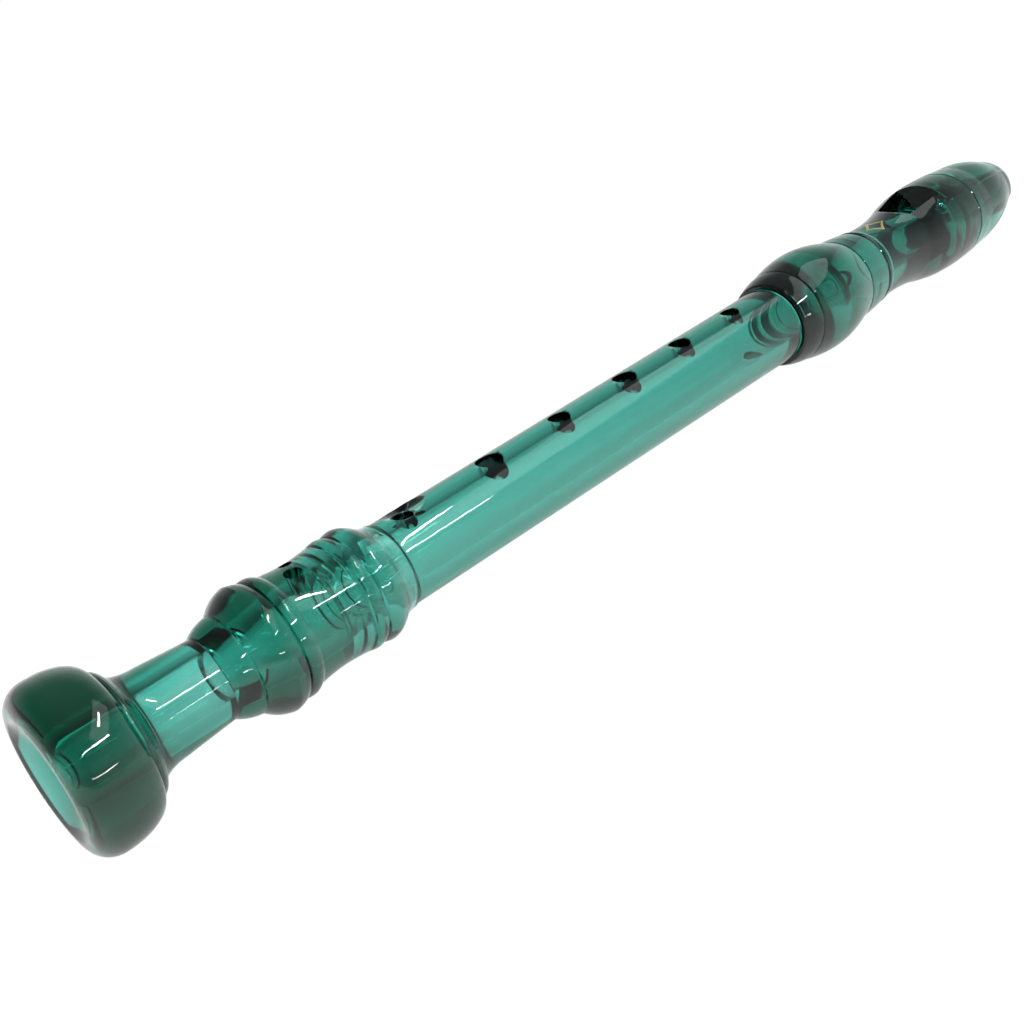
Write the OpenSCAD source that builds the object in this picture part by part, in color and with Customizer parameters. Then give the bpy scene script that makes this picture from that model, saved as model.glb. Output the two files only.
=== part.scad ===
// Soprano recorder in three joints, lying along X with its finger holes up.
// Stations are measured along the axis from the foot's end face towards the beak's tip.

/* [Joints] */
// Whole length, from the foot's end face to the beak's tip
total_len = 324; // [322:1:326]
// Station where the foot joint meets the middle joint
foot_len = 70.3; // [70:0.1:71]
// Station where the middle joint meets the head joint
head_start = 199.7; // [198:0.1:201]
// Station of the line between the head joint and the beak cap
cap_start = 290.5; // [290:0.1:292]

/* [Foot] */
// Largest radius of the bell
bell_r = 16; // [15.6:0.1:16.4]
// Smallest radius of the neck
neck_r = 8; // [7.8:0.05:8.2]
// Radius of the thick bead
foot_bead_r = 12.75; // [12.4:0.05:13.1]
// Depth of the dish in the bell's end
dish_depth = 3.4; // [2.5:0.1:4]

/* [Middle] */
// Tube radius at the foot end
tube_foot_r = 8.9; // [8.7:0.05:9]
// Tube radius at the head end
tube_head_r = 10; // [9.7:0.05:10.2]
// Radius of the tenon that enters the foot
foot_tenon_r = 7.5; // [7.3:0.05:7.6]
// Length of the tenon that enters the foot
foot_tenon_len = 15.8; // [14:0.1:16]
// Radius of the tenon that enters the head
head_tenon_r = 8.4; // [8.2:0.05:8.6]
// Length of the tenon that enters the head
head_tenon_len = 20; // [18:0.5:21]

/* [Head] */
// Largest radius of the socket bead
head_bead_r = 14.1; // [13.7:0.1:14.6]
// Radius of the plain tube below the window
head_tube_r = 10.3; // [10:0.1:10.6]
// Largest radius of the bulb round the block
bulb_r = 13.8; // [13.5:0.1:14]
// Radius of the beak at its tip
tip_r = 7.9; // [7.7:0.05:8.2]

/* [Bore] */
// Bore radius through the bell
bell_bore_r = 4.6; // [4.4:0.05:4.8]
// Bore radius where the foot joint meets the middle joint
low_bore_r = 5.1; // [4.9:0.05:5.3]
// Bore radius through the head joint
head_bore_r = 6; // [5.9:0.05:6.1]
// Radial play of a tenon in its socket
tenon_play = 0.05; // [0.02:0.01:0.09]

/* [Window and windway] */
// Station of the labium's edge
labium_s = 275.8; // [275:0.1:276]
// Length of the window along the axis
window_len = 4.4; // [4.2:0.1:4.6]
// Width of the window; the windway is a little narrower
window_w = 9.6; // [9.4:0.1:10]
// Height of the labium's edge above the axis
labium_h = 6.4; // [6.3:0.05:6.6]
// Slope of the ramp above the labium, in degrees
ramp_angle = 17.5; // [16:0.5:19]
// Height of the windway
windway_h = 1.1; // [0.9:0.1:1.2]

/* [Finger holes] */
// Stations of holes 1 to 5
hole_s = [183.7, 163.5, 143.1, 121.2, 100]; // [95:0.1:190]
// Radii of holes 1 to 5
hole_r = [2.3, 2.65, 2.85, 2.5, 3]; // [2:0.05:3.2]
// Station of the thumb hole
thumb_s = 190.5; // [189:0.5:192]
// Radius of the thumb hole
thumb_r = 2.5; // [2.3:0.05:2.7]

/* [Hidden] */

round_fn = 96;
arc_steps = 7;
shell_colour = [0.10, 0.55, 0.45, 0.75];
block_colour = [0.05, 0.38, 0.34, 0.85];
axis_z = bell_r;
spare = 1; // overshoot of cutting bodies

foot_socket_r = foot_tenon_r + tenon_play;
foot_socket_s = foot_len - foot_tenon_len - 0.5;
head_socket_r = head_tenon_r + tenon_play;
head_socket_s = head_start + head_tenon_len + 1;

// Holes 6 and 7 are pairs, [station, radius, angle towards -Y], the small one nearer the head
hole_6 = [[76.7, 2.1, 2], [78.7, 1.3, 25]];
hole_7 = [[50.3, 1.8, -7], [51.5, 1.3, 17]];
recess_r = 13;     // ball that scoops the recess round hole 6
recess_depth = 1;
recess_turn = 9;

block_face_s = labium_s + window_len;
block_r = 7.5;      // plug radius at the window end
block_tip_r = 6.3;  // plug radius at the beak's tip
block_play = 0.03;
seat_gap = 0.1;     // gap over the plug's flat, beside the windway
window_floor = 3.3;  // height at which the window's side walls meet the bore
ramp_len = 24;
trough_h = 9;        // height and outward lean of the trough that the ramp is cut with
trough_flare = 2.4;
spigot_r = 10.2;    // step on the head that the beak cap slides over
spigot_len = 5.5;
windway_w = window_w - 0.3;
windway_floor = 5.75; // height of the windway's floor at the window
windway_fall = 1.2;  // fall of the windway towards the tip, degrees
beak_cut_r = 38;      // radius of the concave cut under the beak
beak_cut_h = -37.55; // height of that cut's centre

// Points [radius, station] bowed out by h between two ends, without the first end
function bow(from, to, h) = [
    for (i = [1:arc_steps])
        from + (to - from) * i / arc_steps + [h * sin(180 * i / arc_steps), 0]
];

// Points on a quarter ellipse about a centre, without its start
function quarter(centre, reach_r, reach_s, start, stop) = [
    for (i = [1:arc_steps])
        let (t = start + (stop - start) * i / arc_steps)
            centre + [reach_r * sin(t), reach_s * cos(t)]
];

// A turned body from its outline [radius, station]
module turned(outline) {
    translate([-total_len / 2, 0, axis_z])
        rotate([0, 90, 0])
            rotate_extrude($fn = round_fn)
                polygon(outline);
}

// A round cutter across the wall at a station, leaning by an angle towards -Y
module finger_hole(station, r, lean) {
    translate([station - total_len / 2, 0, axis_z])
        rotate([lean, 0, 0])
            cylinder(h = bell_r + spare, r = r, $fn = 48);
}

// A tapered bore cutter between two stations
module bore(s0, r0, s1, r1) {
    turned([[0, s0], [r0, s0], [r1, s1], [0, s1]]);
}

// Outer outline of the foot: bell, cove, neck, beads and socket lip
foot_outer = concat(
    [[11.2, 0], [11.75, 0]],
    quarter([11.75, 4.6], bell_r - 11.8, -4.6, 0, 90),
    [[bell_r - 0.05, 5.6]],
    quarter([12.15, 5.6], bell_r - 12.2, 7.3, 90, 0),
    bow([12.15, 12.9], [11.2, 14.4], 0.25),
    quarter([11.2, 20], -2.5, -5.6, 0, 90),
    [[neck_r, 29.9]],
    bow([neck_r, 30.2], [9.85, 34.5], 0.3),
    [[9.5, 34.8]],
    bow([9.8, 35], [foot_bead_r, 39.8], 0.5),
    bow([foot_bead_r, 39.8], [12.05, 42.3], 0.15),
    [[11.6, 42.6]],
    bow([12.05, 42.9], [11.35, 45.9], 0.45),
    bow([11.35, 45.9], [11.25, 57.4], -0.45),
    [[10.85, 57.8]],
    bow([11.3, 58.1], [11.4, 60.7], 0.3),
    [[10.95, 61]],
    bow([11.4, 61.3], [10.95, 65.7], 0.7),
    bow([10.95, 65.7], [9.25, 69.5], -0.35),
    [[9.25, foot_len - 0.25], [9.05, foot_len]]
);

module foot_joint() {
    color(shell_colour)
        difference() {
            turned(concat(
                foot_outer,
                [
                    [foot_socket_r + 0.3, foot_len],
                    [foot_socket_r, foot_len - 0.3],
                    [foot_socket_r, foot_socket_s],
                    [low_bore_r, foot_socket_s],
                    [bell_bore_r, dish_depth + 13],
                    [bell_bore_r, dish_depth]
                ]
            ));
            for (h = hole_7)
                finger_hole(h[0], h[1], h[2]);
        }
}

module middle_joint() {
    foot_end = foot_len - foot_tenon_len;
    head_end = head_start + head_tenon_len;
    tube_slope = (tube_head_r - tube_foot_r) / (head_start - foot_len);
    recess_tube_r = tube_foot_r + (hole_6[0][0] - foot_len) * tube_slope;
    color(shell_colour)
        difference() {
            turned([
                [low_bore_r + 0.15, foot_end],
                [foot_tenon_r - 0.4, foot_end],
                [foot_tenon_r, foot_end + 0.8],
                [foot_tenon_r, foot_end + 6],
                [foot_tenon_r - 0.3, foot_end + 6.5],
                [foot_tenon_r - 0.3, foot_end + 8.5],
                [foot_tenon_r, foot_end + 9],
                [foot_tenon_r, foot_len + 0.03],
                [tube_foot_r - 0.25, foot_len + 0.03],
                [tube_foot_r, foot_len + 0.3],
                [tube_head_r, head_start - 0.3],
                [tube_head_r - 0.25, head_start - 0.03],
                [head_tenon_r, head_start - 0.03],
                [head_tenon_r, head_end - 12],
                [head_tenon_r - 0.3, head_end - 11.5],
                [head_tenon_r - 0.3, head_end - 9],
                [head_tenon_r, head_end - 8.5],
                [head_tenon_r, head_end - 0.8],
                [head_tenon_r - 0.4, head_end],
                [head_bore_r + 0.1, head_end]
            ]);
            for (i = [0:len(hole_s) - 1])
                finger_hole(hole_s[i], hole_r[i], 0);
            for (h = hole_6)
                finger_hole(h[0], h[1], h[2]);
            finger_hole(thumb_s, thumb_r, 180);
            translate([hole_6[0][0] + 1.2 - total_len / 2, 0, axis_z])
                rotate([recess_turn, 0, 0])
                    translate([0, 0, recess_tube_r - recess_depth + recess_r])
                        sphere(r = recess_r, $fn = round_fn);
        }
}

// Outer outline of the head joint: lip, socket bead, collar, ring, tube and bulb
head_outer = concat(
    [[10.6, head_start], [11.05, head_start + 0.4]],
    bow([11.05, head_start + 0.4], [12.5, 205.6], 0.2),
    [[12.05, 205.9]],
    bow([12.5, 206.2], [11.95, 231], head_bead_r - 12.2),
    [[11.5, 231.3]],
    bow([11.85, 231.6], [11.2, 240.8], 0.1),
    [[10.65, 241.1], [10.65, 241.5]],
    bow([10.75, 241.6], [10.65, 244.4], 0.3),
    [[head_tube_r, 244.6], [head_tube_r, 253]],
    bow([head_tube_r, 253], [11.3, 264.5], -0.2),
    bow([11.3, 264.5], [13.25, 274.5], 0.1),
    bow([13.25, 274.5], [13.7, cap_start - 0.4], bulb_r - 13.5),
    [[13.45, cap_start]]
);

// Trough with flaring sides that runs along X from a start, its floor at height 0
module trough(start, stop) {
    translate([start, 0, 0])
        rotate([90, 0, 90])
            linear_extrude(stop - start)
                polygon([
                    [-window_w / 2 - 0.3, 0],
                    [window_w / 2 + 0.3, 0],
                    [window_w / 2 + trough_flare, trough_h],
                    [-window_w / 2 - trough_flare, trough_h]
                ]);
}

// Cuts the sloping ramp and the window at its foot
module voicing_cut() {
    translate([labium_s - total_len / 2, 0, axis_z + labium_h])
        rotate([0, ramp_angle, 0])
            trough(-ramp_len, spare / 2);
    translate([labium_s - total_len / 2, -window_w / 2, axis_z + window_floor])
        cube([window_len, window_w, bell_r]);
}

// Everything within a width and a height above the windway's floor, which falls towards the tip
module above_floor(w, from_h, to_h) {
    translate([block_face_s - total_len / 2, 0, axis_z + windway_floor])
        rotate([0, windway_fall, 0])
            translate([-spare / 2, -w / 2, from_h])
                cube([total_len - block_face_s + 2 * spare, w, to_h - from_h]);
}

// Slot of the windway between the block's flat and its roof
module windway_slot() {
    above_floor(windway_w, 0, windway_h);
}

// Space that the block fills, with play all round
module block_seat() {
    difference() {
        bore(block_face_s, block_r + block_play, total_len, block_tip_r + block_play);
        above_floor(2 * bell_r, seat_gap, bell_r);
    }
}

// Concave cut under the beak that makes room for the lower lip
module beak_cut() {
    translate([total_len / 2 + 2, 0, axis_z + beak_cut_h])
        rotate([90, 0, 0])
            cylinder(h = 4 * bell_r, r = beak_cut_r, center = true, $fn = round_fn);
}

module head_joint() {
    color(shell_colour)
        difference() {
            turned(concat(
                head_outer,
                [
                    [spigot_r, cap_start],
                    [spigot_r, cap_start + spigot_len],
                    [head_bore_r, cap_start + spigot_len],
                    [head_bore_r, head_socket_s],
                    [head_socket_r, head_socket_s],
                    [head_socket_r, head_start + 0.3],
                    [head_socket_r + 0.3, head_start]
                ]
            ));
            block_seat();
            windway_slot();
            voicing_cut();
        }
}

module beak_cap() {
    color(shell_colour)
        difference() {
            turned(concat(
                [[13.4, cap_start + 0.03]],
                bow([13.65, cap_start + 0.4], [13.05, 299], 0.1),
                bow([13.05, 299], [9.9, 317.5], 0.9),
                bow([9.9, 317.5], [tip_r, total_len - 0.8], 0.3),
                [
                    [tip_r - 0.9, total_len],
                    [block_tip_r - 0.7, total_len],
                    [block_r - 1.5, cap_start + spigot_len + 0.03],
                    [spigot_r + 0.04, cap_start + spigot_len + 0.03],
                    [spigot_r + 0.04, cap_start + 0.03]
                ]
            ));
            block_seat();
            windway_slot();
            beak_cut();
        }
}

module windway_block() {
    color(block_colour)
        difference() {
            bore(block_face_s + 0.03, block_r, total_len - 0.4, block_tip_r);
            above_floor(2 * bell_r, 0, bell_r);
            beak_cut();
        }
}

foot_joint();
middle_joint();
head_joint();
beak_cap();
windway_block();
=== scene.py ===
"""A see-through soprano recorder in three joints, turned and bored from numpy surfaces, in metres.

The bore runs along X, the finger holes and the window face +Z. Outlines are written in millimetres as
(radius, station), where a station is the distance from the open end of the bell.
"""

import logging
import math
from dataclasses import dataclass, field
from enum import Enum

import bpy
import numpy as np
from mathutils import Matrix, Vector

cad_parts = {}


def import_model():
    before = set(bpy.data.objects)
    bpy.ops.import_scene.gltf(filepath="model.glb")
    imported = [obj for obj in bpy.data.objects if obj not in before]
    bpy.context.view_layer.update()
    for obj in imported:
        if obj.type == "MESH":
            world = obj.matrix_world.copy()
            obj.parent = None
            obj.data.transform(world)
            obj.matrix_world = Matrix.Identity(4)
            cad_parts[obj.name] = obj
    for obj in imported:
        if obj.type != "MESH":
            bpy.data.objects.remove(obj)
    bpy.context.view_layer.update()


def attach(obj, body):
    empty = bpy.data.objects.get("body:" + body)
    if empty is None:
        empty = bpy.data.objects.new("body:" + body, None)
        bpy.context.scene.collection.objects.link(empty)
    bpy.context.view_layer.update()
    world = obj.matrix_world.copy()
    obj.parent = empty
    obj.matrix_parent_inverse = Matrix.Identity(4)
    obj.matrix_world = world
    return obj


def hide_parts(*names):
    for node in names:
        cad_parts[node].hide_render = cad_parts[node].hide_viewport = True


log = logging.getLogger("recorder")

MM = 0.001
LENGTH = 324.0
AXIS_Z = 16.0
SIDES = 192
LONGEST_STEP = 1.6
EDGE_SOFTNESS = 0.11


class Side(Enum):
    """The side of the recorder that a hole opens to, as degrees from straight up, turning to the player's right."""

    TOP = 0.0
    THUMB = 180.0


# ---------------------------------------------------------------- outlines


@dataclass
class Outline:
    """A chain of (radius, station) points in millimetres that a lathe tool would follow."""

    points: list = field(default_factory=list)

    def to(self, *points: tuple[float, float]) -> "Outline":
        """Goes straight to each point in turn.

        Args:
            *points: (radius, station) pairs.

        Returns:
            This outline.
        """
        self.points += [np.array(p, float) for p in points]
        return self

    def bow(self, start: tuple[float, float], end: tuple[float, float], bulge: float, steps: int = 14) -> "Outline":
        """Goes from start to end on a bowed line: the straight line plus bulge times the sine of half a turn.

        Args:
            start: first (radius, station).
            end: last (radius, station).
            bulge: height of the bow at its middle, outwards if positive.
            steps: number of pieces along it.

        Returns:
            This outline.
        """
        t = np.linspace(0, 1, steps + 1)
        a, b = np.array(start, float), np.array(end, float)
        line = a + t[:, None] * (b - a)
        line[:, 0] += bulge * np.sin(math.pi * t)
        self.points += list(line)
        return self

    def quarter(
        self,
        centre: tuple[float, float],
        reach: tuple[float, float],
        start: float,
        stop: float,
        steps: int = 14,
    ) -> "Outline":
        """Goes along part of an ellipse: centre plus reach times (sine, cosine) of the angle.

        Args:
            centre: (radius, station) of the middle.
            reach: half sizes in radius and in station.
            start: first angle in degrees.
            stop: last angle in degrees.
            steps: number of pieces along it.

        Returns:
            This outline.
        """
        t = np.radians(np.linspace(start, stop, steps + 1))
        c, h = np.array(centre, float), np.array(reach, float)
        self.points += list(c + h * np.stack([np.sin(t), np.cos(t)], 1))
        return self

    def joined(self, other: "Outline") -> "Outline":
        """This outline followed by the other."""
        return Outline(self.points + other.points)

    def ring(self, softness: float = EDGE_SOFTNESS) -> np.ndarray:
        """The closed outline with softened corners and short steps.

        Each corner that turns by more than 12 degrees gives way to a quadratic curve that leaves both sides at
        the same distance from it, at most the softness and at most 0.4 of the shorter side.

        Args:
            softness: the distance from a corner at which its rounding starts.

        Returns:
            (n, 2) array of radius and station.
        """
        p = np.array(self.points)
        p = p[np.linalg.norm(p - np.roll(p, 1, 0), axis=1) > 1e-6]
        before, after = np.roll(p, 1, 0) - p, np.roll(p, -1, 0) - p
        lb, la = np.linalg.norm(before, axis=1), np.linalg.norm(after, axis=1)
        turn = math.pi - np.arccos(np.clip((before * after).sum(1) / (lb * la), -1, 1))
        reach = np.where(turn > math.radians(12), np.minimum(softness, 0.4 * np.minimum(lb, la)), 0)
        t = np.linspace(0, 1, 5)[None, :, None]
        a = (p + before / lb[:, None] * reach[:, None])[:, None]
        b = (p + after / la[:, None] * reach[:, None])[:, None]
        curve = (1 - t) ** 2 * a + 2 * t * (1 - t) * p[:, None] + t**2 * b
        keep = np.ones((len(p), 5), bool)
        keep[reach == 0, 1:] = False
        chain = curve[keep]
        step = np.linalg.norm(np.roll(chain, -1, 0) - chain, axis=1)
        count = np.maximum(1, np.ceil(step / LONGEST_STEP)).astype(int)
        index = np.repeat(np.arange(len(chain)), count)
        part = np.concatenate([np.arange(c) / c for c in count])
        return chain[index] + part[:, None] * (np.roll(chain, -1, 0)[index] - chain[index])

    def radius_at(self, stations: np.ndarray) -> np.ndarray:
        """The outline's radius at each station, for an outline whose stations only grow."""
        p = np.array(self.points)
        return np.interp(stations, p[:, 1], p[:, 0])


# ---------------------------------------------------------------- surfaces


def grid_mesh(name: str, grid: np.ndarray, wrap: tuple[bool, bool]) -> bpy.types.Mesh:
    """Makes a mesh from a grid of points, each cell one quad.

    Args:
        name: name of the mesh.
        grid: (rows, columns, 3) points in metres.
        wrap: whether the last row joins the first, and the last column the first.

    Returns:
        The mesh, with faces wound rows first, then columns.
    """
    rows, cols = grid.shape[:2]
    i = np.arange(rows if wrap[0] else rows - 1)
    j = np.arange(cols if wrap[1] else cols - 1)
    i, j = np.meshgrid(i, j, indexing="ij")
    a, b = (i + 1) % rows, (j + 1) % cols
    quads = np.stack([i * cols + j, a * cols + j, a * cols + b, i * cols + b], -1).reshape(-1, 4)
    return mesh_from(name, grid.reshape(-1, 3), quads)


def mesh_from(name: str, points: np.ndarray, quads: np.ndarray) -> bpy.types.Mesh:
    """Puts whole arrays of points and quads into a new mesh.

    Args:
        name: name of the mesh.
        points: (n, 3) points in metres.
        quads: (m, 4) corner indices.

    Returns:
        The mesh, checked and smooth.
    """
    mesh = bpy.data.meshes.new(name)
    mesh.vertices.add(len(points))
    mesh.vertices.foreach_set("co", points.astype(np.float32).ravel())
    mesh.loops.add(quads.size)
    mesh.loops.foreach_set("vertex_index", quads.astype(np.int32).ravel())
    mesh.polygons.add(len(quads))
    mesh.polygons.foreach_set("loop_start", np.arange(0, quads.size, 4, dtype=np.int32))
    mesh.update(calc_edges=True)
    mesh.validate()
    return mesh


def placed(mesh: bpy.types.Mesh) -> bpy.types.Object:
    """An object for the mesh, linked to the scene at the origin."""
    thing = bpy.data.objects.new(mesh.name, mesh)
    bpy.context.scene.collection.objects.link(thing)
    return thing


def turns(seams: tuple[float, ...] = (90.0, 270.0)) -> np.ndarray:
    """Angles round the bore: even steps, with closer ones beside the moulding seams.

    Args:
        seams: degrees of the seams.

    Returns:
        Sorted angles in radians, from 0 up to a whole turn.
    """
    even = np.arange(SIDES) * 2 * math.pi / SIDES
    close = np.concatenate([math.radians(s) + np.radians([-1.3, -0.6, 0.6, 1.3]) for s in seams])
    return np.sort(np.concatenate([even, close]))


def lathed(name: str, ring: np.ndarray) -> bpy.types.Object:
    """Turns a closed outline round the bore.

    Point (i, j) lies at station i along X, and at radius i from the axis, at angle j from straight up.

    Args:
        name: name of the piece.
        ring: (n, 2) radius and station.

    Returns:
        The object, faces outwards.
    """
    angles = turns()
    radius = np.repeat(ring[:, :1], len(angles), 1)
    x = np.repeat(ring[:, 1:] - LENGTH / 2, len(angles), 1)
    y = -radius * np.sin(angles)
    z = AXIS_Z + radius * np.cos(angles)
    mesh = grid_mesh(name, np.stack([x, y, z], -1) * MM, (True, True))
    thing = placed(mesh)
    face_outwards(thing)
    return thing


def face_outwards(thing: bpy.types.Object) -> None:
    """Turns the faces round if the signed volume, the sum of corner triple products, comes out negative."""
    mesh = thing.data
    mesh.calc_loop_triangles()
    tri = np.empty(len(mesh.loop_triangles) * 3, np.int32)
    mesh.loop_triangles.foreach_get("vertices", tri)
    co = np.empty(len(mesh.vertices) * 3, np.float32)
    mesh.vertices.foreach_get("co", co)
    p = co.reshape(-1, 3).astype(float)[tri.reshape(-1, 3)]
    if np.einsum("ij,ij->i", p[:, 0], np.cross(p[:, 1], p[:, 2])).sum() < 0:
        mesh.flip_normals()


# ---------------------------------------------------------------- cutters


def drill(name: str, station: float, lean: float, profile: np.ndarray) -> bpy.types.Object:
    """A round cutter that points away from the bore: the profile turned about a line through the axis.

    Args:
        name: name of the cutter.
        station: where its line crosses the axis.
        lean: degrees from straight up, towards -Y.
        profile: (n, 2) radius and height above the axis, in millimetres, poles excluded.

    Returns:
        The closed cutter.
    """
    angles = np.arange(48) * 2 * math.pi / 48
    r, h = profile[:, :1], profile[:, 1:]
    across = r * np.cos(angles)
    along = r * np.sin(angles)
    up = np.repeat(h, 48, 1)
    lean_r = math.radians(lean)
    x = station - LENGTH / 2 + along
    y = across * math.cos(lean_r) - up * math.sin(lean_r)
    z = AXIS_Z + across * math.sin(lean_r) + up * math.cos(lean_r)
    return capped(name, np.stack([x, y, z], -1) * MM)


def capped(name: str, grid: np.ndarray) -> bpy.types.Object:
    """A tube of rings closed with a fan at each end.

    Args:
        name: name of the piece.
        grid: (rings, sides, 3) points in metres.

    Returns:
        The closed object, faces outwards.
    """
    rings, sides = grid.shape[:2]
    ends = np.stack([grid[0].mean(0), grid[-1].mean(0)])
    points = np.concatenate([grid.reshape(-1, 3), ends])
    i, j = np.meshgrid(np.arange(rings - 1), np.arange(sides), indexing="ij")
    k = (j + 1) % sides
    quads = np.stack([i * sides + j, (i + 1) * sides + j, (i + 1) * sides + k, i * sides + k], -1).reshape(-1, 4)
    j = np.arange(sides)
    k = (j + 1) % sides
    low = np.stack([np.full(sides, rings * sides), j, k], -1)
    top = (rings - 1) * sides
    high = np.stack([np.full(sides, rings * sides + 1), top + k, top + j], -1)
    mesh = bpy.data.meshes.new(name)
    mesh.from_pydata(points.tolist(), [], quads.tolist() + low.tolist() + high.tolist())
    mesh.validate()
    thing = placed(mesh)
    face_outwards(thing)
    return thing


def prism(name: str, corners: np.ndarray, place: Matrix) -> bpy.types.Object:
    """A cutter with the same corners at both ends: the first ring of corners and the second, joined by walls.

    Args:
        name: name of the cutter.
        corners: (2, n, 3) points in millimetres.
        place: where it goes, in millimetres.

    Returns:
        The closed cutter.
    """
    turned = np.array(place)
    grid = corners @ turned[:3, :3].T + turned[:3, 3]
    return capped(name, grid * MM)


def hole_profile(radius: float, mouth: float, flare: float = 0.22) -> np.ndarray:
    """A finger hole's cutter: a straight drill whose last stretch below the surface opens in a small rounded flare.

    Args:
        radius: radius of the hole.
        mouth: height of the surface above the axis.
        flare: how far the rim is rounded off.

    Returns:
        (n, 2) radius and height.
    """
    t = np.linspace(0, math.pi / 2, 6)
    rim = np.stack([radius + flare * (1 - np.cos(t)), mouth - flare + flare * np.sin(t)], 1)
    beyond = np.array([[rim[-1, 0] + 1.2, mouth + 1.6], [rim[-1, 0] + 1.2, mouth + 2.0]])
    return np.concatenate([[[radius, 1.0]], rim, beyond])


def cut(thing: bpy.types.Object, cutters: list[bpy.types.Object]) -> None:
    """Takes each cutter away from the piece, one after another, and keeps the result as plain mesh.

    Args:
        thing: the piece.
        cutters: closed objects, which are deleted afterwards.
    """
    for tool in cutters:
        step = thing.modifiers.new("cut", "BOOLEAN")
        step.operation = "DIFFERENCE"
        step.solver = "MANIFOLD"
        step.object = tool
    bpy.context.view_layer.update()
    graph = bpy.context.evaluated_depsgraph_get()
    made = bpy.data.meshes.new_from_object(thing.evaluated_get(graph))
    thing.modifiers.clear()
    old = thing.data
    made.name = old.name
    thing.data = made
    bpy.data.meshes.remove(old)
    for tool in cutters:
        bpy.data.objects.remove(tool)


def dressed(thing: bpy.types.Object, material: bpy.types.Material, body: str) -> bpy.types.Object:
    """Smooths the piece up to its real edges, gives it its finish and puts it on its body.

    Args:
        thing: the piece.
        material: its finish.
        body: the body it moves with.

    Returns:
        The piece.
    """
    mesh = thing.data
    mesh.materials.clear()
    mesh.materials.append(material)
    mesh.polygons.foreach_set("material_index", np.zeros(len(mesh.polygons), np.int32))
    mesh.polygons.foreach_set("use_smooth", np.ones(len(mesh.polygons), bool))
    mesh.set_sharp_from_angle(angle=math.radians(38))
    mesh.update()
    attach(thing, body)
    log.info("%s: %d faces on %s", thing.name, len(mesh.polygons), body)
    return thing


# ---------------------------------------------------------------- finishes


@dataclass(frozen=True)
class ClearPlastic:
    """See-through moulded plastic: a polished skin over a body that takes light up along its depth."""

    name: str
    density: float
    colour: tuple[float, float, float]
    roughness: float
    swirl: float

    def build(self) -> bpy.types.Material:
        """Makes the material.

        Returns:
            A material whose skin has faint flow marks, hairline rubbing and handling haze.
        """
        m = bpy.data.materials.new(self.name)
        m.use_nodes = True
        nt = m.node_tree
        nt.nodes.clear()
        new, link = nt.nodes.new, nt.links.new
        out = new("ShaderNodeOutputMaterial")
        skin = new("ShaderNodeBsdfPrincipled")
        skin.inputs["Transmission Weight"].default_value = 1.0
        skin.inputs["IOR"].default_value = 1.53
        depth = new("ShaderNodeVolumeAbsorption")
        depth.inputs["Density"].default_value = self.density
        depth.inputs["Color"].default_value = (*self.colour, 1)
        link(skin.outputs["BSDF"], out.inputs["Surface"])
        link(depth.outputs["Volume"], out.inputs["Volume"])

        where = new("ShaderNodeTexCoord")
        flow_at = new("ShaderNodeMapping")
        flow_at.inputs["Scale"].default_value = (60, 420, 420)
        link(where.outputs["Object"], flow_at.inputs["Vector"])
        flow = new("ShaderNodeTexNoise")
        flow.inputs["Scale"].default_value = 1.0
        flow.inputs["Detail"].default_value = 3.0
        flow.inputs["Distortion"].default_value = 0.6
        link(flow_at.outputs["Vector"], flow.inputs["Vector"])
        rub_at = new("ShaderNodeMapping")
        rub_at.inputs["Scale"].default_value = (140, 5200, 5200)
        rub_at.inputs["Rotation"].default_value = (0, 0.05, 0.08)
        link(where.outputs["Object"], rub_at.inputs["Vector"])
        rub = new("ShaderNodeTexNoise")
        rub.inputs["Scale"].default_value = 1.0
        rub.inputs["Detail"].default_value = 4.0
        link(rub_at.outputs["Vector"], rub.inputs["Vector"])
        haze = new("ShaderNodeTexNoise")
        haze.inputs["Scale"].default_value = 90.0
        haze.inputs["Detail"].default_value = 5.0
        link(where.outputs["Object"], haze.inputs["Vector"])

        rough = new("ShaderNodeMapRange")
        rough.inputs["From Min"].default_value = 0.42
        rough.inputs["From Max"].default_value = 0.75
        rough.inputs["To Min"].default_value = self.roughness
        rough.inputs["To Max"].default_value = self.roughness + 0.035
        link(haze.outputs["Fac"], rough.inputs["Value"])
        hair = new("ShaderNodeMapRange")
        hair.inputs["From Min"].default_value = 0.62
        hair.inputs["From Max"].default_value = 0.74
        hair.inputs["To Min"].default_value = 0.0
        hair.inputs["To Max"].default_value = 0.05
        link(rub.outputs["Fac"], hair.inputs["Value"])
        both = new("ShaderNodeMath")
        both.operation = "ADD"
        link(rough.outputs["Result"], both.inputs[0])
        link(hair.outputs["Result"], both.inputs[1])
        link(both.outputs["Value"], skin.inputs["Roughness"])

        tint = new("ShaderNodeMapRange")
        tint.data_type = "FLOAT_VECTOR"
        tint.inputs[7].default_value = (0.3, 0.3, 0.3)
        tint.inputs[8].default_value = (0.7, 0.7, 0.7)
        tint.inputs[9].default_value = (0.93, 0.985, 0.975)
        tint.inputs[10].default_value = (1.0, 1.0, 1.0)
        link(flow.outputs["Fac"], tint.inputs[6])
        link(tint.outputs["Vector"], skin.inputs["Base Color"])

        swell = new("ShaderNodeBump")
        swell.inputs["Strength"].default_value = self.swirl
        swell.inputs["Distance"].default_value = 0.0004
        link(flow.outputs["Fac"], swell.inputs["Height"])
        scratch = new("ShaderNodeBump")
        scratch.inputs["Strength"].default_value = 0.12
        scratch.inputs["Distance"].default_value = 0.00002
        link(hair.outputs["Result"], scratch.inputs["Height"])
        link(swell.outputs["Normal"], scratch.inputs["Normal"])
        link(scratch.outputs["Normal"], skin.inputs["Normal"])
        return m


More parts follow.
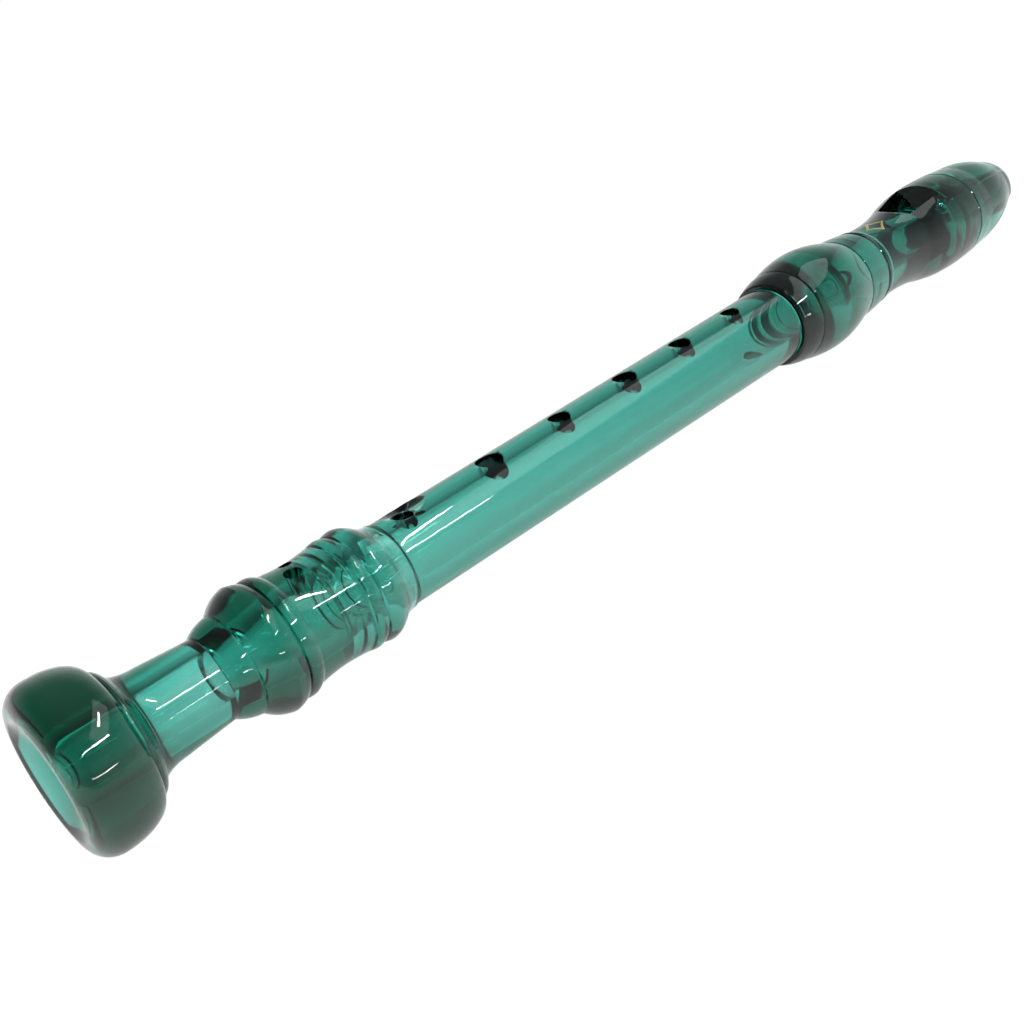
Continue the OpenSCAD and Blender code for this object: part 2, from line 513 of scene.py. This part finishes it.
@dataclass(frozen=True)
class Foil:
    """Gold foil pressed hot on to the plastic: thin, a little worn and crazed."""

    name: str = "gold_foil"
    gold: tuple[float, float, float] = (0.83, 0.63, 0.27)
    worn: tuple[float, float, float] = (0.52, 0.47, 0.25)

    def build(self) -> bpy.types.Material:
        """Makes the material.

        Returns:
            A metallic material with rubbed patches and a fine leather of creases.
        """
        m = bpy.data.materials.new(self.name)
        m.use_nodes = True
        nt = m.node_tree
        skin = nt.nodes["Principled BSDF"]
        new, link = nt.nodes.new, nt.links.new
        skin.inputs["Metallic"].default_value = 1.0
        where = new("ShaderNodeTexCoord")
        patch = new("ShaderNodeTexNoise")
        patch.inputs["Scale"].default_value = 900.0
        patch.inputs["Detail"].default_value = 5.0
        link(where.outputs["Object"], patch.inputs["Vector"])
        colour = new("ShaderNodeMix")
        colour.data_type = "RGBA"
        colour.inputs[6].default_value = (*self.gold, 1)
        colour.inputs[7].default_value = (*self.worn, 1)
        edge = new("ShaderNodeMapRange")
        edge.inputs["From Min"].default_value = 0.5
        edge.inputs["From Max"].default_value = 0.72
        link(patch.outputs["Fac"], edge.inputs["Value"])
        link(edge.outputs["Result"], colour.inputs["Factor"])
        link(colour.outputs[2], skin.inputs["Base Color"])
        rough = new("ShaderNodeMapRange")
        rough.inputs["To Min"].default_value = 0.18
        rough.inputs["To Max"].default_value = 0.5
        link(patch.outputs["Fac"], rough.inputs["Value"])
        link(rough.outputs["Result"], skin.inputs["Roughness"])
        crease = new("ShaderNodeTexVoronoi")
        crease.inputs["Scale"].default_value = 2600.0
        link(where.outputs["Object"], crease.inputs["Vector"])
        bump = new("ShaderNodeBump")
        bump.inputs["Strength"].default_value = 0.25
        bump.inputs["Distance"].default_value = 0.00002
        link(crease.outputs["Distance"], bump.inputs["Height"])
        link(bump.outputs["Normal"], skin.inputs["Normal"])
        return m


@dataclass(frozen=True)
class Tabletop:
    """Pale matt surface under the recorder."""

    name: str = "pale_tabletop"
    colour: tuple[float, float, float] = (0.88, 0.885, 0.88)
    glow: float = 1.12
    share: float = 0.9
    under: float = 0.45

    def build(self) -> bpy.types.Material:
        """Makes the material.

        Returns:
            A pale, nearly even, matt material.
        """
        m = bpy.data.materials.new(self.name)
        m.use_nodes = True
        nt = m.node_tree
        skin = nt.nodes["Principled BSDF"]
        skin.inputs["Base Color"].default_value = (*self.colour, 1)
        skin.inputs["Specular IOR Level"].default_value = 0.2
        where = nt.nodes.new("ShaderNodeTexCoord")
        grain = nt.nodes.new("ShaderNodeTexNoise")
        grain.inputs["Scale"].default_value = 40.0
        nt.links.new(where.outputs["Object"], grain.inputs["Vector"])
        rough = nt.nodes.new("ShaderNodeMapRange")
        rough.inputs["To Min"].default_value = 0.75
        rough.inputs["To Max"].default_value = 0.9
        nt.links.new(grain.outputs["Fac"], rough.inputs["Value"])
        nt.links.new(rough.outputs["Result"], skin.inputs["Roughness"])
        glow = nt.nodes.new("ShaderNodeEmission")
        glow.inputs["Strength"].default_value = self.glow
        ray = nt.nodes.new("ShaderNodeLightPath")
        lift = nt.nodes.new("ShaderNodeMapRange")
        lift.inputs["To Min"].default_value = self.under
        lift.inputs["To Max"].default_value = self.share
        nt.links.new(ray.outputs["Is Camera Ray"], lift.inputs["Value"])
        mix = nt.nodes.new("ShaderNodeMixShader")
        nt.links.new(lift.outputs["Result"], mix.inputs["Fac"])
        nt.links.new(skin.outputs["BSDF"], mix.inputs[1])
        nt.links.new(glow.outputs["Emission"], mix.inputs[2])
        nt.links.new(mix.outputs["Shader"], nt.nodes["Material Output"].inputs["Surface"])
        return m


# ---------------------------------------------------------------- joints of the recorder


@dataclass
class FootJoint:
    """Bell foot with its beads, its socket for the lower tenon, and the pair of holes 7."""

    bell_r: float = 15.95
    neck_r: float = 8.0
    bead_r: float = 12.75
    bell_bore_r: float = 4.6
    dish_depth: float = 3.4
    low_bore_r: float = 5.1
    socket_r: float = 7.55
    socket_floor: float = 54.0
    pair: tuple = ((50.3, 1.8, -7.0), (51.5, 1.3, 17.0))
    surface: float = 11.2

    def outside(self) -> Outline:
        """The outside from the bell's rim to the joint with the middle."""
        return (
            Outline()
            .to((11.2, 0), (11.75, 0))
            .quarter((11.75, 4.6), (4.2, -4.6), 0, 90)
            .to((self.bell_r, 5.6))
            .quarter((12.15, 5.6), (3.8, 7.3), 90, 0)
            .bow((12.15, 12.9), (11.2, 14.4), 0.25)
            .quarter((11.2, 20), (-2.5, -5.6), 0, 90)
            .to((self.neck_r, 29.9))
            .bow((self.neck_r, 30.2), (9.85, 34.5), 0.3)
            .to((9.5, 34.8))
            .bow((9.8, 35), (self.bead_r, 39.8), 0.5)
            .bow((self.bead_r, 39.8), (12.05, 42.3), 0.15)
            .to((11.6, 42.6))
            .bow((12.05, 42.9), (11.35, 45.9), 0.45)
            .bow((11.35, 45.9), (11.25, 57.4), -0.45)
            .to((10.85, 57.8))
            .bow((11.3, 58.1), (11.4, 60.7), 0.3)
            .to((10.95, 61))
            .bow((11.4, 61.3), (10.95, 65.7), 0.7)
            .bow((10.95, 65.7), (9.25, 69.5), -0.35)
            .to((9.25, 70.05), (9.05, 70.3))
        )

    def build(self, plastic: bpy.types.Material) -> bpy.types.Object:
        """Turns, bores and drills the foot.

        Args:
            plastic: its finish.

        Returns:
            The piece.
        """
        inside = Outline().to(
            (self.socket_r + 0.3, 70.3),
            (self.socket_r, 70),
            (self.socket_r, self.socket_floor),
            (self.low_bore_r, self.socket_floor),
            (self.bell_bore_r, self.dish_depth + 13),
            (self.bell_bore_r, self.dish_depth),
        )
        foot = lathed("bell_foot", self.outside().joined(inside).ring())
        tools = [
            drill(f"hole_7_{i}", s, -lean, hole_profile(r, self.surface))
            for i, (s, r, lean) in enumerate(self.pair)
        ]
        cut(foot, tools)
        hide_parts("foot_joint")
        return dressed(foot, plastic, "foot")


@dataclass
class MiddleJoint:
    """Tapered tube with a tenon at each end, finger holes 1 to 5, the pair of holes 6 and the thumb hole."""

    foot_r: float = 8.9
    head_r: float = 10.0
    foot_tenon_r: float = 7.5
    head_tenon_r: float = 8.4
    holes: tuple = ((183.7, 2.3), (163.5, 2.65), (143.1, 2.85), (121.2, 2.5), (100.0, 3.0))
    pair: tuple = ((76.7, 2.1, 2.0), (78.7, 1.3, 25.0))
    thumb: tuple = (190.5, 2.5)
    hollow_r: float = 13.0
    hollow_depth: float = 1.0
    hollow_lean: float = 9.0
    hollow_station: float = 77.9

    def surface(self, station: float) -> float:
        """Radius of the tube's outside at a station."""
        return self.foot_r + (self.head_r - self.foot_r) * (station - 70.6) / (199.4 - 70.6)

    def outline(self) -> Outline:
        """The tube and its tenons, outside and bore."""
        t, u = self.foot_tenon_r, self.head_tenon_r
        return Outline().to(
            (5.25, 54.5),
            (t - 0.4, 54.5),
            (t, 55.3),
            (t, 60.5),
            (t - 0.3, 61),
            (t - 0.3, 63),
            (t, 63.5),
            (t, 70.33),
            (8.65, 70.33),
            (self.foot_r, 70.6),
            (self.head_r, 199.4),
            (9.75, 199.67),
            (u, 199.67),
            (u, 207.7),
            (u - 0.3, 208.2),
            (u - 0.3, 210.7),
            (u, 211.2),
            (u, 218.9),
            (u - 0.4, 219.7),
            (6.1, 219.7),
        )

    def hollow(self) -> bpy.types.Object:
        """The shallow thumb-shaped recess round the pair of holes 6, a ball sunk into the surface."""
        t = np.linspace(0.02, math.pi - 0.02, 40)
        centre = self.surface(self.hollow_station) - self.hollow_depth + self.hollow_r
        ball = np.stack([self.hollow_r * np.sin(t), centre - self.hollow_r * np.cos(t)], 1)
        return drill("hollow", self.hollow_station, -self.hollow_lean, ball)

    def build(self, plastic: bpy.types.Material) -> bpy.types.Object:
        """Turns and drills the tube.

        Args:
            plastic: its finish.

        Returns:
            The piece.
        """
        tube = lathed("finger_hole_tube", self.outline().ring())
        tools = [self.hollow()]
        tools += [
            drill(f"hole_{i}", s, Side.TOP.value, hole_profile(r, self.surface(s)))
            for i, (s, r) in enumerate(self.holes, 1)
        ]
        tools += [
            drill(f"hole_6_{i}", s, -lean, hole_profile(r, self.surface(s) - 0.9))
            for i, (s, r, lean) in enumerate(self.pair)
        ]
        s, r = self.thumb
        tools.append(drill("thumb", s, Side.THUMB.value, hole_profile(r, self.surface(s))))
        cut(tube, tools)
        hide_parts("middle_joint")
        return dressed(tube, plastic, "middle")


@dataclass
class Voicing:
    """Sizes that the head, the cap and the block share: windway, window, ramp and the cut under the beak."""

    labium: float = 275.8
    labium_h: float = 6.4
    window_len: float = 4.4
    window_w: float = 9.6
    window_floor: float = 3.3
    ramp_angle: float = 17.5
    ramp_len: float = 24.0
    trough_h: float = 9.0
    trough_flare: float = 2.4
    windway_w: float = 9.3
    windway_h: float = 1.1
    windway_floor: float = 5.75
    windway_fall: float = 1.2
    block_face: float = 280.2
    block_r: float = 7.5
    block_tip_r: float = 6.3
    play: float = 0.03
    seat_gap: float = 0.1
    lip_r: float = 38.0
    lip_h: float = -37.55

    def above_floor(self, name: str, width: float, low: float, high: float) -> bpy.types.Object:
        """All that lies between two heights over the windway's floor, which falls towards the tip.

        Args:
            name: name of the cutter.
            width: its width.
            low: lower height.
            high: upper height.

        Returns:
            The closed cutter.
        """
        reach = LENGTH - self.block_face + 2.0
        y = np.array([-1, 1, 1, -1]) * width / 2
        z = np.array([low, low, high, high])
        corners = np.stack([np.stack([np.full(4, x), y, z], 1) for x in (-0.5, reach)])
        place = Matrix.Translation((self.block_face - LENGTH / 2, 0, AXIS_Z + self.windway_floor))
        return prism(name, corners, place @ Matrix.Rotation(math.radians(self.windway_fall), 4, "Y"))

    def windway(self) -> bpy.types.Object:
        """The slot that carries the breath to the window."""
        return self.above_floor("windway", self.windway_w, 0, self.windway_h)

    def seat(self, name: str) -> bpy.types.Object:
        """The room that the block fills: a cone with a flat top."""
        t = np.arange(128) * 2 * math.pi / 128
        ends = [(self.block_r + self.play, self.block_face), (self.block_tip_r + self.play, LENGTH + 0.6)]
        grid = []
        for r, s in ends:
            top = self.windway_floor + self.seat_gap - math.tan(math.radians(self.windway_fall)) * (s - self.block_face)
            z = np.minimum(r * np.cos(t), top)
            grid.append(np.stack([np.full(128, s - LENGTH / 2), -r * np.sin(t), AXIS_Z + z], -1))
        return capped(name, np.array(grid) * MM)

    def ramp(self) -> bpy.types.Object:
        """The sloping cut that ends at the labium: a trough whose sides lean outwards, tilted by the ramp's angle."""
        w, f, h = self.window_w / 2, self.trough_flare, self.trough_h
        y = np.array([-w - 0.3, w + 0.3, w + f, -w - f])
        z = np.array([0, 0, h, h])
        corners = np.stack([np.stack([np.full(4, x), y, z], 1) for x in (-self.ramp_len, 0.5)])
        place = Matrix.Translation((self.labium - LENGTH / 2, 0, AXIS_Z + self.labium_h))
        return prism("ramp", corners, place @ Matrix.Rotation(math.radians(self.ramp_angle), 4, "Y"))

    def window(self) -> bpy.types.Object:
        """The window in front of the labium."""
        y = np.array([-1, 1, 1, -1]) * self.window_w / 2
        z = np.array([self.window_floor, self.window_floor, 20, 20])
        x = self.labium - LENGTH / 2
        corners = np.stack([np.stack([np.full(4, x + d), y, z], 1) for d in (0, self.window_len)])
        return prism("window", corners, Matrix.Identity(4))

    def lip(self, name: str) -> bpy.types.Object:
        """The round cut under the beak, a wide cylinder across the bore."""
        t = np.arange(256) * 2 * math.pi / 256
        x = LENGTH / 2 + 2 + self.lip_r * np.cos(t)
        z = AXIS_Z + self.lip_h + self.lip_r * np.sin(t)
        grid = np.stack([np.stack([x, np.full(256, y), z], -1) for y in (-40.0, 40.0)])
        return capped(name, grid * MM)


@dataclass
class HeadJoint:
    """Head with its bead, socket, window and ramp."""

    voicing: Voicing = field(default_factory=Voicing)
    bore_r: float = 6.0
    socket_r: float = 8.45
    socket_floor: float = 220.7
    start: float = 199.7
    cap_start: float = 290.5
    spigot_r: float = 10.2
    spigot_len: float = 5.5

    def outside(self) -> Outline:
        """The outside from the joint with the middle to the seam of the cap."""
        return (
            Outline()
            .to((10.6, self.start))
            .bow((11.05, 200.1), (12.5, 205.6), 0.2)
            .to((12.05, 205.9))
            .bow((12.5, 206.2), (11.95, 231), 1.9, 30)
            .to((11.5, 231.3))
            .bow((11.85, 231.6), (11.2, 240.8), 0.1)
            .to((10.65, 241.1), (10.65, 241.5))
            .bow((10.75, 241.6), (10.65, 244.4), 0.3)
            .to((10.3, 244.6), (10.3, 253))
            .bow((10.3, 253), (11.3, 264.5), -0.2)
            .bow((11.3, 264.5), (13.25, 274.5), 0.1)
            .bow((13.25, 274.5), (13.7, 290.1), 0.3)
            .to((13.45, self.cap_start))
        )

    def build(self, plastic: bpy.types.Material) -> bpy.types.Object:
        """Turns the head, and cuts its windway, window, ramp and the block's seat.

        Args:
            plastic: its finish.

        Returns:
            The piece.
        """
        end = self.cap_start + self.spigot_len
        inside = Outline().to(
            (self.spigot_r, self.cap_start),
            (self.spigot_r, end),
            (self.bore_r, end),
            (self.bore_r, self.socket_floor),
            (self.socket_r, self.socket_floor),
            (self.socket_r, self.start + 0.3),
            (self.socket_r + 0.3, self.start),
        )
        head = lathed("head", self.outside().joined(inside).ring())
        v = self.voicing
        cut(head, [v.seat("head_seat"), v.windway(), v.window(), v.ramp()])
        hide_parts("head_joint")
        return dressed(head, plastic, "head")


@dataclass
class BeakCap:
    """The beak: a cap bonded on the head's spigot, cut away below for the lower lip."""

    voicing: Voicing = field(default_factory=Voicing)
    start: float = 290.53
    socket_r: float = 10.24
    socket_floor: float = 296.03
    tip_r: float = 7.9

    def build(self, plastic: bpy.types.Material) -> bpy.types.Object:
        """Turns the cap and cuts the windway, the block's seat and the lip's hollow.

        Args:
            plastic: its finish.

        Returns:
            The piece.
        """
        v = self.voicing
        shape = (
            Outline()
            .to((13.4, self.start))
            .bow((13.65, 290.9), (13.05, 299), 0.1)
            .bow((13.05, 299), (9.9, 317.5), 0.9, 24)
            .bow((9.9, 317.5), (self.tip_r, LENGTH - 0.8), 0.3)
            .to(
                (self.tip_r - 0.9, LENGTH),
                (5.6, LENGTH),
                (6.0, self.socket_floor),
                (self.socket_r, self.socket_floor),
                (self.socket_r, self.start),
            )
        )
        cap = lathed("beak", shape.ring())
        cut(cap, [v.seat("cap_seat"), v.windway(), v.lip("cap_lip")])
        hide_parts("beak_cap")
        return dressed(cap, plastic, "head")


@dataclass
class WindwayBlock:
    """The plug that fills the head and carries the windway's floor."""

    voicing: Voicing = field(default_factory=Voicing)

    def build(self, plastic: bpy.types.Material) -> bpy.types.Object:
        """Turns the plug, planes its flat and cuts the lip's hollow.

        Args:
            plastic: its finish.

        Returns:
            The piece.
        """
        v = self.voicing
        a, b = v.block_face + 0.03, LENGTH - 0.4
        s = np.linspace(a, b, 40)
        r = np.interp(s, [a, b], [v.block_r, v.block_tip_r])
        t = np.arange(160) * 2 * math.pi / 160
        x = np.repeat(s[:, None] - LENGTH / 2, 160, 1)
        y = -r[:, None] * np.sin(t)
        z = AXIS_Z + r[:, None] * np.cos(t)
        plug = capped("block", np.stack([x, y, z], -1) * MM)
        cut(plug, [v.above_floor("flat", 40, 0, 20), v.lip("block_lip")])
        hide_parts("windway_block")
        return dressed(plug, plastic, "head")


@dataclass
class FoilOrnament:
    """One plain lozenge ring, pressed on the head."""

    station: float = 251.5
    lean: float = 6.0
    half_len: float = 4.6
    half_w: float = 3.2
    line: float = 1.1
    thick: float = 0.03
    head: HeadJoint = field(default_factory=HeadJoint)

    def band(self) -> np.ndarray:
        """The closed band of foil along a lozenge with slightly hollowed sides.

        The path is |cos|^p and |sin|^p of the angle with p just over 2, which draws a lozenge; the band runs from it
        inwards by its line width, and both rims are laid on the head and lifted by the foil's thickness.

        Returns:
            (path, 4, 3) points of the band's section, in millimetres.
        """
        t = np.linspace(0, 2 * math.pi, 96, endpoint=False)
        cu, su = np.cos(t), np.sin(t)
        u = np.sign(cu) * np.abs(cu) ** 2.3
        w = np.sign(su) * np.abs(su) ** 2.3
        a, b = self.half_len, self.half_w
        section = []
        for inset, lift in ((0, 0.004), (0, self.thick), (self.line, self.thick), (self.line, 0.004)):
            s = self.station + u * (a - inset)
            across = w * (b - inset)
            r = self.head.outside().radius_at(s)
            phi = math.radians(self.lean) + across / r
            r = r + lift
            section.append(np.stack([s - LENGTH / 2, -r * np.sin(phi), AXIS_Z + r * np.cos(phi)], -1))
        return np.stack(section, 1)

    def build(self, foil: bpy.types.Material) -> bpy.types.Object:
        """Lays the ornament on the head.

        Args:
            foil: its finish.

        Returns:
            The piece.
        """
        band = self.band()
        rows, cols = band.shape[:2]
        i, j = np.meshgrid(np.arange(rows), np.arange(cols), indexing="ij")
        a, b = (i + 1) % rows, (j + 1) % cols
        quads = np.stack([i * cols + j, a * cols + j, a * cols + b, i * cols + b], -1).reshape(-1, 4)
        thing = placed(mesh_from("foil_lozenge", band.reshape(-1, 3) * MM, quads))
        face_outwards(thing)
        return dressed(thing, foil, "head")


# ---------------------------------------------------------------- stage


@dataclass
class Studio:
    """Pale table, soft lamps, sky and camera."""

    lens: float = 38.67
    distance: float = 189.5
    elevation: float = 34.5
    camera_x: float = -188.4
    pan: float = 56.0
    offset: float = 19.4 / 1100
    roll: tuple[float, float] = (0.8446, 0.5354)
    horizon: tuple = (0.86, 0.95, 0.93, 1)
    overhead: tuple = (0.26, 0.30, 0.30, 1)
    bell_side: float = 0.5

    def camera(self) -> None:
        """Places the camera above the bell end, looking along the recorder.

        Its position is a point beside the bore at the given distance and elevation, and its line of sight is turned
        from square across the bore by the pan angle, towards the head.
        """
        el, pan = math.radians(self.elevation), math.radians(self.pan)
        a = np.array([1.0, 0, 0])
        p = np.array([0, math.cos(el), -math.sin(el)])
        place = np.array([self.camera_x, -self.distance * math.cos(el), AXIS_Z + self.distance * math.sin(el)]) * MM
        o = a * math.cos(pan) + p * math.sin(pan)
        d = a * math.sin(pan) - p * math.cos(pan)
        n = np.array([0, -math.sin(el), -math.cos(el)])
        e = math.atan(self.offset)
        ahead = math.cos(e) * o + math.sin(e) * n
        n = -math.sin(e) * o + math.cos(e) * n
        right = self.roll[0] * d + self.roll[1] * n
        down = -self.roll[1] * d + self.roll[0] * n
        data = bpy.data.cameras.new("camera")
        data.lens = self.lens
        data.sensor_width = 36.0
        data.clip_start = 0.01
        cam = bpy.data.objects.new("camera", data)
        turn = Matrix((right, -down, -ahead)).transposed().to_4x4()
        cam.matrix_world = Matrix.Translation(Vector(place)) @ turn
        bpy.context.scene.collection.objects.link(cam)
        bpy.context.scene.camera = cam

    def lamp(self, name: str, place: tuple, aim: tuple, size: tuple, power: float, mirrored: bool = True) -> None:
        """Hangs one soft rectangular lamp.

        Args:
            name: its name.
            place: where it hangs, in metres.
            aim: the point it faces.
            size: its width and height.
            power: its power in watts.
            mirrored: whether its shape shows in glossy surfaces.
        """
        data = bpy.data.lights.new(name, "AREA")
        data.shape = "RECTANGLE"
        data.size, data.size_y = size
        data.energy = power
        lamp = bpy.data.objects.new(name, data)
        lamp.visible_glossy = mirrored
        lamp.location = place
        lamp.rotation_euler = (Vector(aim) - Vector(place)).to_track_quat("-Z", "Y").to_euler()
        bpy.context.scene.collection.objects.link(lamp)

    def sky(self) -> None:
        """Fills the room: dimmer overhead and on the bell's side, so that clear plastic gets dark outlines.

        The camera sees a plain white backdrop instead.
        """
        world = bpy.data.worlds.new("room")
        world.use_nodes = True
        nt = world.node_tree
        room = nt.nodes["Background"]
        where = nt.nodes.new("ShaderNodeTexCoord")
        split = nt.nodes.new("ShaderNodeSeparateXYZ")
        ramp = nt.nodes.new("ShaderNodeValToRGB")
        ramp.color_ramp.elements[0].position = 0.0
        ramp.color_ramp.elements[0].color = self.horizon
        ramp.color_ramp.elements[1].position = 0.6
        ramp.color_ramp.elements[1].color = self.overhead
        nt.links.new(where.outputs["Generated"], split.inputs["Vector"])
        nt.links.new(split.outputs["Z"], ramp.inputs["Fac"])
        shade = nt.nodes.new("ShaderNodeMapRange")
        shade.inputs["From Min"].default_value = -0.5
        shade.inputs["From Max"].default_value = 0.3
        shade.inputs["To Min"].default_value = self.bell_side
        nt.links.new(split.outputs["X"], shade.inputs["Value"])
        nt.links.new(shade.outputs["Result"], room.inputs["Strength"])
        nt.links.new(ramp.outputs["Color"], room.inputs["Color"])
        plain = nt.nodes.new("ShaderNodeBackground")
        plain.inputs["Color"].default_value = (1, 1, 1, 1)
        ray = nt.nodes.new("ShaderNodeLightPath")
        pick = nt.nodes.new("ShaderNodeMixShader")
        nt.links.new(ray.outputs["Is Camera Ray"], pick.inputs["Fac"])
        nt.links.new(room.outputs["Background"], pick.inputs[1])
        nt.links.new(plain.outputs["Background"], pick.inputs[2])
        nt.links.new(pick.outputs["Shader"], nt.nodes["World Output"].inputs["Surface"])
        bpy.context.scene.world = world

    def floor(self) -> None:
        """Lays the pale table, a wide disc with its top at the height the recorder lies on."""
        t = np.arange(96) * 2 * math.pi / 96
        rings = np.array([[9.0, -0.01], [9.0, 0.0], [0.5, 0.0]])
        x = rings[:, :1] * np.cos(t)
        y = rings[:, :1] * np.sin(t)
        z = np.repeat(rings[:, 1:], 96, 1)
        top = capped("tabletop", np.stack([x, y, z], -1))
        top.data.materials.append(Tabletop().build())

    def build(self) -> None:
        """Sets the whole stage and how light is followed through clear plastic."""
        self.camera()
        self.sky()
        self.floor()
        self.lamp("key", (-0.20, 0.10, 0.40), (-0.18, 0, 0), (0.42, 0.34), 1.5, False)
        self.lamp("softbox", (0.55, -0.35, 0.85), (0, 0, 0.02), (1.2, 0.4), 1.6)
        self.lamp("bulb", (0.05, -0.11, 0.29), (-0.155, 0, 0.03), (0.12, 0.012), 0.25)
        self.lamp("line", (0.1, -0.75, 0.70), (0, 0, 0.02), (0.9, 0.025), 4.0)
        self.lamp("low", (-0.1, -1.1, 0.22), (0, 0, 0.02), (1.0, 0.015), 1.6)
        scene = bpy.context.scene
        scene.view_settings.view_transform = "Standard"
        scene.view_settings.look = "None"
        c = scene.cycles
        c.max_bounces = 40
        c.transmission_bounces = 40
        c.glossy_bounces = 12
        c.transparent_max_bounces = 24
        c.caustics_refractive = True
        c.caustics_reflective = False
        c.blur_glossy = 0.3
        c.use_denoising = True
        c.denoiser = "OPENIMAGEDENOISE"
        c.sample_clamp_indirect = 6.0
        c.seed = 7


def main() -> None:
    """Builds the recorder in order from the foot to the beak, then the stage."""
    logging.basicConfig(level=logging.INFO, format="%(message)s")
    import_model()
    shell = ClearPlastic("green_shell_plastic", 310.0, (0.0, 0.66, 0.585), 0.012, 0.05).build()
    core = ClearPlastic("green_block_plastic", 330.0, (0.0, 0.65, 0.58), 0.02, 0.08).build()
    foil = Foil().build()
    FootJoint().build(shell)
    MiddleJoint().build(shell)
    HeadJoint().build(shell)
    BeakCap().build(shell)
    WindwayBlock().build(core)
    FoilOrnament().build(foil)
    Studio().build()


if __name__ == "__main__":
    main()
